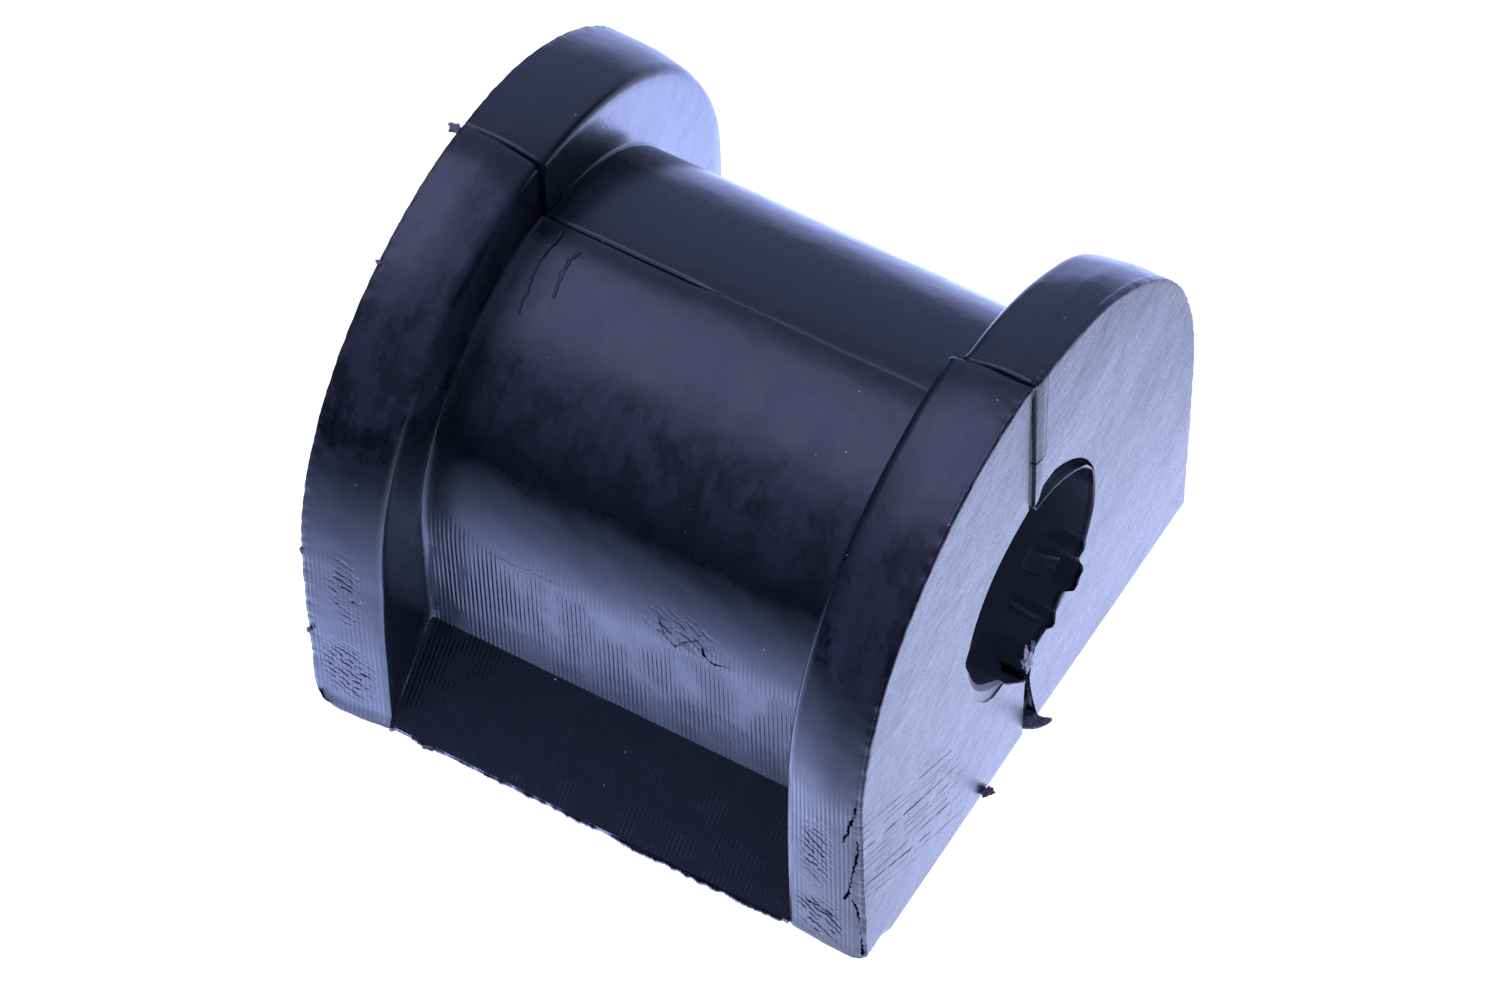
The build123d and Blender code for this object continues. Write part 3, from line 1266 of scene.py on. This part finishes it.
@dataclass(frozen=True)
class WornRubber:
    """Black rubber with mould ridges, scuffs, cracks and dust, and painted shade in the cracks,
    folds, scratches and slit.

    Args:
        colour: the bare rubber's colour.
        film: colour of the scuffed film.
        dust: colour of the dust specks.
        gap: colour of the painted shade inside the cracks, the folds, the scratches and the slit.
        bore_film: colour of the bore's wall.
        veil: glow that stands for stray light in the bore.
        ior: the rubber's index of refraction.
        ridge_pitch: distance between the tool ridges.
        pucker_pitch: distance between the puckered folds.
        scratch_pitch: distance between the scratches.
        strip_width: width of the bevelled strip beside the seam.
        corner_x: x of the corner between the seat and the front wall, where painted shade dims the
            film.
        lines: cracks and creases.
        patches: puckered patches.
    """

    colour: Colour = (0.0088, 0.0098, 0.0145, 1.0)
    film: Colour = (0.034, 0.0295, 0.0465, 1.0)
    dust: Colour = (0.45, 0.46, 0.55, 1.0)
    gap: Colour = (0.002, 0.002, 0.003, 1.0)
    bore_film: Colour = (0.02, 0.022, 0.03, 1.0)
    veil: Colour = (0.005, 0.006, 0.0135, 1.0)
    ior: float = 1.5
    ridge_pitch: float = 0.48
    pucker_pitch: float = 1.0
    scratch_pitch: float = 1.2
    strip_width: float = 1.7
    corner_x: float = 21.5
    lines: SkinLines = SkinLines()
    patches: tuple[Pucker, ...] = (
        Pucker((25.0, -31.0, -9.0), (2.4, 3.0, 7.0), 0.9),
        Pucker((25.4, -30.7, -19.5), (3.6, 3.0, 4.4), 0.7),
        Pucker((-25.6, -31.2, -3.5), (2.2, 3.0, 6.5), 0.9),
        Pucker((-26.0, -30.8, -16.5), (3.6, 3.0, 6.0), 0.7),
        Pucker((6.0, -22.9, 2.4), (5.0, 2.5, 3.0), 0.9, 0.6),
    )

    def build(self) -> bpy.types.Material:
        """Make the finish.

        Returns:
            The material.
        """
        sheet = Sheet("worn_rubber")
        painted_gap_shade = self.painted_gap_shade(sheet)
        film = self.film_mask(sheet)
        specks = self.specks(sheet)
        bore = self.bore_mask(sheet)
        coloured = sheet.blend(film, self.colour, self.film)
        coloured = sheet.blend(bore, coloured, self.bore_film)
        coloured = sheet.blend(specks, coloured, self.dust)
        rough = self.roughness(sheet) + film * 0.14 + bore * 0.35 + specks * 0.3
        pucker = self.puckers(sheet)
        scratch = self.scratches(sheet)
        height = self.relief(sheet) - pucker * 0.2 - scratch * 0.07
        # Painted shade: besides their bumps, the pucker folds and the scratches are darkened with
        # the dark crack shader.
        painted_gap_shade = painted_gap_shade.most(pucker.ramp(0.3, 0.75) * 0.8).most(scratch * 0.8)
        # Painted shade: the slit's walls are darkened with the dark crack shader.
        painted_gap_shade = painted_gap_shade.most(self.slit_shade_mask(sheet) * 0.8)
        bump = sheet.add("ShaderNodeBump", {}, {"Height": height, "Distance": MM})
        veil = sheet.blend(self.inside_mask(sheet), (0.0, 0.0, 0.0, 1.0), self.veil)
        sheet.fill(sheet.shader, {"Base Color": coloured, "Roughness": rough, "Normal": bump})
        glow = {"IOR": self.ior, "Emission Color": veil, "Emission Strength": 1.0}
        sheet.fill(sheet.shader, glow)
        # The near-black, matt shader mixed in below is painted shade inside the cracks, folds,
        # scratches and the slit.
        dark = {"Base Color": self.gap, "Roughness": 1.0, "Specular IOR Level": 0.0}
        gap = sheet.add("ShaderNodeBsdfPrincipled", {}, dark)
        whole = Wire(sheet, sheet.shader.outputs[0])
        mixed = sheet.add("ShaderNodeMixShader", {}, {0: painted_gap_shade, 1: whole, 2: gap})
        sheet.fill(sheet.output, {"Surface": mixed})
        return sheet.material

    def painted_gap_shade(self, sheet: Sheet) -> Wire:
        """Mask of the open cracks, which wander and grow wider and narrower, painted dark as the
        shade inside them.
        """
        wander = (sheet.grain(sheet.point, 2.2, 2.0) - 0.5) * 0.6
        side = 1.0 - sheet.y.ramp(-22.0, -20.0)
        level = nearest(sheet, sheet.x + wander, sheet.z + wander, self.lines.level_cracks)
        upright = nearest(sheet, sheet.z, sheet.x + wander, self.lines.upright_cracks)
        width = sheet.grain(sheet.point, 0.6, 1.0).ramp(0.35, 0.7) * 0.17 + 0.05
        return (1.0 - (level.least(upright) - width).ramp(-0.08, 0.03)) * side

    def film_mask(self, sheet: Sheet) -> Wire:
        """Mask of the scuffed violet film on the near half's upper surfaces, dimmed as painted
        shade near the corner between the seat and the front wall.
        """
        smears = sheet.grain(sheet.stretched((0.26, 0.14, 0.22)), 1.0, 7.0, 0.7)
        edge = sheet.y + smears * 6.0
        upper = (sheet.z + smears * 7.0).ramp(15.0, 20.5) * (1.0 - edge.ramp(-3.0, 0.0))
        scuffs = sheet.grain(sheet.stretched((0.55, 0.12, 0.12)), 1.0, 6.0, 0.6).ramp(0.45, 0.55)
        # Painted shade: the film fades towards the corner between the seat and the front wall,
        # leaving a dark band along it.
        corner = (sheet.x - self.corner_x).size().ramp(0.4, 2.0) * 0.8 + 0.2
        film = smears.ramp(0.44, 0.53) * 0.7 + scuffs * 0.3 + 0.03
        return film * upper * corner * (1.0 - sheet.x.ramp(29.5, 29.8))

    def slit_shade_mask(self, sheet: Sheet) -> Wire:
        """Mask of the slit's walls just behind the front face, darkened there as painted shade."""
        beside = 1.0 - (sheet.y - 0.3).size().ramp(1.6, 2.2)
        behind = sheet.x.ramp(20.0, 26.0) * (1.0 - sheet.x.ramp(29.6, 29.85))
        return beside * behind * (1.0 - sheet.z.ramp(-17.0, -15.6))

    def bore_mask(self, sheet: Sheet) -> Wire:
        """Mask of the bore's wall."""
        return 1.0 - self.from_axis(sheet).ramp(11.3, 11.6)

    def inside_mask(self, sheet: Sheet) -> Wire:
        """Mask of the bore with its torn places, where stray light veils the black."""
        ends = sheet.x.ramp(-28.0, -20.0) * (1.0 - sheet.x.ramp(29.6, 29.8))
        return (1.0 - self.from_axis(sheet).ramp(14.6, 15.2)) * ends

    def from_axis(self, sheet: Sheet) -> Wire:
        """Distance from the bore's axis."""
        return sheet.length(sheet.stretched((0.0, 1.0, 1.0)))

    def specks(self, sheet: Sheet) -> Wire:
        """Mask of small specks of dust."""
        values = {"Vector": sheet.point, "Scale": 0.5}
        spots = sheet.add("ShaderNodeTexVoronoi", {"feature": "F1"}, values, "Distance")
        keep = sheet.grain(sheet.point, 0.35, 1.0).ramp(0.5, 0.62)
        return (1.0 - spots.ramp(0.03, 0.06)) * keep

    def roughness(self, sheet: Sheet) -> Wire:
        """Roughness, with handling marks."""
        return 0.2 + sheet.grain(sheet.point, 0.4, 5.0, 0.65) * 0.14

    def relief(self, sheet: Sheet) -> Wire:
        """Height of the fine relief in millimetres."""
        height = sheet.grain(sheet.point, 2.2, 3.0, 0.6) * 0.012
        height = height + sheet.grain(sheet.point, 0.3, 1.0) * 0.05
        height = height + self.ridges(sheet)
        height = height + self.creases(sheet)
        return height + self.face_relief(sheet)

    def ridges(self, sheet: Sheet) -> Wire:
        """Fine upright ridges that the mould's tool marks left on the low near sides."""
        wave = sheet.x.wave(self.ridge_pitch)
        patchy = sheet.grain(sheet.stretched((0.3, 1.0, 0.12)), 1.0, 2.0).ramp(0.3, 0.6)
        low = (1.0 - sheet.z.ramp(-2.0, 4.0)) * (1.0 - sheet.y.ramp(-21.5, -20.0))
        strong = 1.0 - 0.45 * sheet.x.size().ramp(21.0, 22.0) - 0.55 * sheet.x.ramp(28.8, 29.2)
        return wave * patchy * low * strong * 0.03

    def creases(self, sheet: Sheet) -> Wire:
        """Creases on the seat."""
        wander = (sheet.grain(sheet.point, 0.8, 2.0) - 0.5) * 1.0
        across = nearest(sheet, sheet.y, sheet.x + wander, self.lines.cross_creases)
        fold = (1.0 - across.ramp(0.0, 0.25)) * sheet.z.ramp(12.0, 14.0)
        along = nearest(sheet, sheet.x, sheet.z + wander, self.lines.side_creases)
        low = (1.0 - along.ramp(0.0, 0.12)) * (1.0 - sheet.y.ramp(-21.0, -20.0))
        return fold * -0.05 - low * 0.02

    def puckers(self, sheet: Sheet) -> Wire:
        """Mask of the short folds that pucker the near rims and the skin round the crack."""
        wobble = (sheet.grain(sheet.point, 0.45, 3.0, 0.6) - 0.5) * 2.2
        fold = (sheet.z + sheet.x * 0.5 + wobble).wave(self.pucker_pitch).ramp(0.3, 0.95)
        broken = sheet.grain(sheet.stretched((0.8, 1.0, 1.2)), 1.0, 1.0).ramp(0.37, 0.52)
        patches = self.patches[0].mask(sheet)
        for patch in self.patches[1:]:
            patches = patches.most(patch.mask(sheet))
        return fold * patches * broken

    def scratches(self, sheet: Sheet) -> Wire:
        """Mask of the parallel scratches low on the front face's near side."""
        across = sheet.z + sheet.y * 0.49
        fanned = sheet.add("ShaderNodeCombineXYZ", {}, {"X": across * 0.4, "Y": sheet.y * 0.04})
        drift = sheet.grain(fanned, 1.0, 1.0) * 2.0
        line = (across * (1.0 / self.scratch_pitch) + drift).wave(1.0).ramp(0.9, 1.0)
        broken = sheet.grain(sheet.stretched((0.0, 0.3, 0.7)), 1.0, 1.0).ramp(0.35, 0.55)
        there = across.ramp(-30.0, -27.0) * (1.0 - across.ramp(-18.0, -13.0))
        there = there * (1.0 - sheet.y.ramp(-17.0, -11.0)) * sheet.x.ramp(29.5, 29.8)
        return line * there * broken

    def face_relief(self, sheet: Sheet) -> Wire:
        """Relief of the front face: uneven skin, and a bevelled strip beside the seam."""
        uneven = sheet.grain(sheet.stretched((0.0, 0.3, 0.45)), 1.0, 7.0, 0.7) * 0.125
        share = (sheet.y - PARTING_Y) * (1.0 / self.strip_width)
        strip = share.ramp(-0.02, 0.02) * (1.0 - share.ramp(0.95, 1.05)) * sheet.z.ramp(18.2, 18.6)
        return (uneven - strip * (1.0 - share * 0.6) * 0.13) * sheet.x.ramp(29.5, 29.8)


@dataclass(frozen=True)
class TornRubber:
    """Paler, matt rubber of the bits that have torn away."""

    dark: Colour = (0.12, 0.11, 0.13, 1.0)
    pale: Colour = (0.42, 0.39, 0.46, 1.0)
    roughness: float = 0.55

    def build(self) -> bpy.types.Material:
        """Make the finish.

        Returns:
            The material.
        """
        sheet = Sheet("torn_rubber")
        mottle = sheet.grain(sheet.point, 2.5, 4.0, 0.7)
        coloured = sheet.blend(mottle.ramp(0.35, 0.7), self.dark, self.pale)
        bump = sheet.add("ShaderNodeBump", {}, {"Height": mottle * 0.2, "Distance": MM})
        finish = {"Base Color": coloured, "Roughness": self.roughness, "Normal": bump}
        sheet.fill(sheet.shader, finish)
        return sheet.material


@dataclass(frozen=True)
class SoftBox:
    """A soft light panel that faces the object.

    Args:
        name: the light's name.
        azimuth: degrees from +X towards +Y.
        elevation: degrees over the horizon.
        distance: metres from the object.
        size: width and height in metres.
        radiance: brightness of the panel.
        colour: its colour.
    """

    name: str
    azimuth: float
    elevation: float
    distance: float
    size: tuple[float, float]
    radiance: float
    colour: Point

    def build(self) -> None:
        """Add the light, facing the origin."""
        data = bpy.data.lights.new(self.name, "AREA")
        data.shape = "RECTANGLE"
        data.size, data.size_y = self.size
        data.color = self.colour
        data.energy = self.radiance * math.pi * self.size[0] * self.size[1]
        light = bpy.data.objects.new(self.name, data)
        light.visible_camera = False
        bpy.context.scene.collection.objects.link(light)
        azimuth = math.radians(self.azimuth)
        elevation = math.radians(self.elevation)
        level = math.cos(elevation)
        way = Vector((level * math.cos(azimuth), level * math.sin(azimuth), math.sin(elevation)))
        light.location = way * self.distance
        light.rotation_euler = way.to_track_quat("Z", "Y").to_euler()


@dataclass(frozen=True)
class Studio:
    """Floor, lights and camera.

    Args:
        camera_place: the camera's place in millimetres.
        right: direction of the picture's right.
        up: direction of its top.
        back: direction back from the object to the camera.
        focal_px: focal length in pixels of the whole frame.
        frame_px: width of that frame in pixels.
        sensor: width of the sensor in millimetres.
        near_glow: colour of the floor's glow under the object.
        front_glow: colour of the glow in front of it.
        glow_middle: shift that puts the glow's middle at zero.
        glow: strength of the glow over the distance from its middle.
        far_glow: strength that is added on the far side.
        floor_size: side of the floor in metres.
        horizon: colour of the surroundings at the horizon.
        zenith: colour of the surroundings overhead.
        backdrop: brightness of the white that the camera sees behind the object.
        panels: the soft light panels.
    """

    camera_place: Point = (247.288, -405.152, 637.263)
    right: Point = (0.86005, 0.51011, -0.00978)
    up: Point = (-0.406, 0.69588, 0.59238)
    back: Point = (0.30899, -0.5055, 0.8056)
    focal_px: float = 8512.99
    frame_px: float = 1500.0
    sensor: float = 36.0
    near_glow: Colour = (1.0, 1.22, 2.3, 1.0)
    front_glow: Colour = (0.82, 0.92, 1.44, 1.0)
    glow_middle: Point = (0.0, -10.0, 0.0)
    glow: Line = (
        (0.0, 2.2), (36.0, 2.6), (46.0, 2.3), (58.0, 1.65), (86.0, 1.05), (141.0, 0.5),
        (400.0, 0.2),
    )
    far_glow: float = 0.42
    floor_size: float = 4.0
    horizon: Colour = (0.0, 0.0, 0.0, 1.0)
    zenith: Colour = (0.32, 0.36, 0.66, 1.0)
    backdrop: float = 1.2
    panels: tuple[SoftBox, ...] = (
        SoftBox("overhead", -172.0, 66.0, 1.5, (1.3, 1.15), 1.4, (1.0, 1.0, 1.9)),
        SoftBox("far_side", 98.0, 22.0, 1.6, (2.2, 1.9), 0.34, (1.0, 1.18, 2.2)),
    )

    def build(self) -> None:
        """Add the camera, the floor, the lights and the surroundings."""
        self.add_camera()
        self.add_floor()
        for panel in self.panels:
            panel.build()
        bpy.context.scene.view_settings.view_transform = "Standard"
        self.add_surroundings()

    def add_camera(self) -> None:
        """Add the camera where the photograph was taken from."""
        data = bpy.data.cameras.new("camera")
        data.sensor_width = self.sensor
        data.lens = self.focal_px / self.frame_px * self.sensor
        data.clip_start = 0.01
        camera = bpy.data.objects.new("camera", data)
        bpy.context.scene.collection.objects.link(camera)
        turn = Matrix((self.right, self.up, self.back)).transposed()
        camera.matrix_world = Matrix.Translation(Vector(self.camera_place) * MM) @ turn.to_4x4()
        bpy.context.scene.camera = camera

    def add_floor(self) -> None:
        """Add the pale, softly lit floor."""
        deselect_all()
        bpy.ops.mesh.primitive_plane_add(size=self.floor_size, location=(0, 0, BASE_Z * MM))
        floor = bpy.context.active_object
        floor.name = "floor"
        sheet = Sheet("floor")
        reach = sheet.length(sheet.stretched((1.0, 1.0, 0.0), self.glow_middle))
        colour = sheet.blend(sheet.x.ramp(0.0, 40.0), self.near_glow, self.front_glow)
        strength = sheet.curve(reach, self.glow) + sheet.y.ramp(60.0, 150.0) * self.far_glow
        glow = sheet.add("ShaderNodeEmission", {}, {"Color": colour, "Strength": strength})
        pale = sheet.add("ShaderNodeEmission", {}, {"Strength": self.backdrop})
        seen = sheet.add("ShaderNodeLightPath", {}, {}, "Is Camera Ray")
        mixed = sheet.add("ShaderNodeMixShader", {}, {0: seen, 1: glow, 2: pale})
        sheet.fill(sheet.output, {"Surface": mixed})
        floor.data.materials.append(sheet.material)

    def add_surroundings(self) -> None:
        """Add the dim surroundings, with a white backdrop behind the object."""
        world = bpy.data.worlds.new("world")
        world.use_nodes = True
        tree = world.node_tree
        dim = tree.nodes["Background"]
        way = tree.nodes.new("ShaderNodeTexCoord")
        height = tree.nodes.new("ShaderNodeSeparateXYZ")
        tree.links.new(way.outputs["Generated"], height.inputs[0])
        shade = tree.nodes.new("ShaderNodeMix")
        shade.data_type = "RGBA"
        shade.inputs[6].default_value = self.horizon
        shade.inputs[7].default_value = self.zenith
        tree.links.new(height.outputs["Z"], shade.inputs[0])
        tree.links.new(shade.outputs[2], dim.inputs["Color"])
        pale = tree.nodes.new("ShaderNodeBackground")
        pale.inputs["Strength"].default_value = self.backdrop
        path = tree.nodes.new("ShaderNodeLightPath")
        either = tree.nodes.new("ShaderNodeMixShader")
        tree.links.new(path.outputs["Is Camera Ray"], either.inputs[0])
        tree.links.new(dim.outputs[0], either.inputs[1])
        tree.links.new(pale.outputs[0], either.inputs[2])
        tree.links.new(either.outputs[0], tree.nodes["World Output"].inputs["Surface"])
        bpy.context.scene.world = world


@dataclass(frozen=True)
class Bushing:
    """The whole bushing: the moulding with its flash, its torn bits and the slit's tab."""

    moulding: Moulding = Moulding()
    flashes: tuple[FootFlash, ...] = (
        FootFlash(Half.NEAR, 29.7, 0.34, start=-20.5, growth=0.25),
        FootFlash(Half.FAR, 30.1, 0.35),
    )
    bits: tuple[TornBit, ...] = (
        TornBit("seam_burr", (-30.4, -1.4, 30.05), (0.7, 0.45, 0.3), (0, 20, 10), 1.0),
        TornBit("rim_burr_high", (-29.9, -15.8, 26.4), (0.25, 0.2, 0.25), (0, 0, 0), 2.0),
        TornBit("rim_burr_middle", (-29.95, -31.25, 0.2), (0.2, 0.2, 0.45), (0, 0, 0), 3.0),
        TornBit("rim_burr_low", (-29.9, -31.25, -12.4), (0.22, 0.28, 0.28), (0, 0, 0), 4.0),
        TornBit("base_burr", (30.5, -8.6, -23.4), (0.5, 0.6, 0.22), (0, -8, -20), 5.0),
        TornBit("foot_burr", (-17.6, -30.5, -23.55), (0.9, 0.4, 0.15), (0, 0, 15), 6.0),
        TornBit("mouth_curl", (29.9, -0.3, -12.6), (0.35, 0.75, 1.6), (8, 0, 0), 7.0),
        TornBit("mouth_crumb", (29.9, 0.6, -11.3), (0.25, 0.4, 0.5), (0, 0, 0), 8.0),
    )
    tab: TornTab = TornTab(
        "slit_tab",
        (
            (28.6, 1.7), (29.8, 1.8), (30.4, 1.35), (31.0, 1.5), (31.8, 2.0),
            (32.0, 1.3), (31.5, 0.45), (30.9, -0.35), (29.9, -0.75), (28.6, -1.4),
        ),
        -23.3,
    )

    def build(self) -> None:
        """Build every piece and give it its rubber."""
        rubber = WornRubber().build()
        torn = TornRubber().build()
        body = self.moulding.build()
        pieces = [body]
        pieces += [flash.build() for flash in self.flashes]
        bits = [bit.build() for bit in (*self.bits, self.tab)]
        for piece in pieces + bits:
            piece.data.materials.clear()
            piece.data.materials.append(torn if piece in bits else rubber)
            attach(piece, BODY)
            triangles = sum(len(face.vertices) - 2 for face in piece.data.polygons)
            log.info("%s: %d triangles", piece.name, triangles)
        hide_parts(NODE)


def main() -> None:
    """Build the bushing and its studio."""
    logging.basicConfig(level=logging.INFO, format="%(name)s: %(message)s")
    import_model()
    Bushing().build()
    Studio().build()


if __name__ == "__main__":
    main()
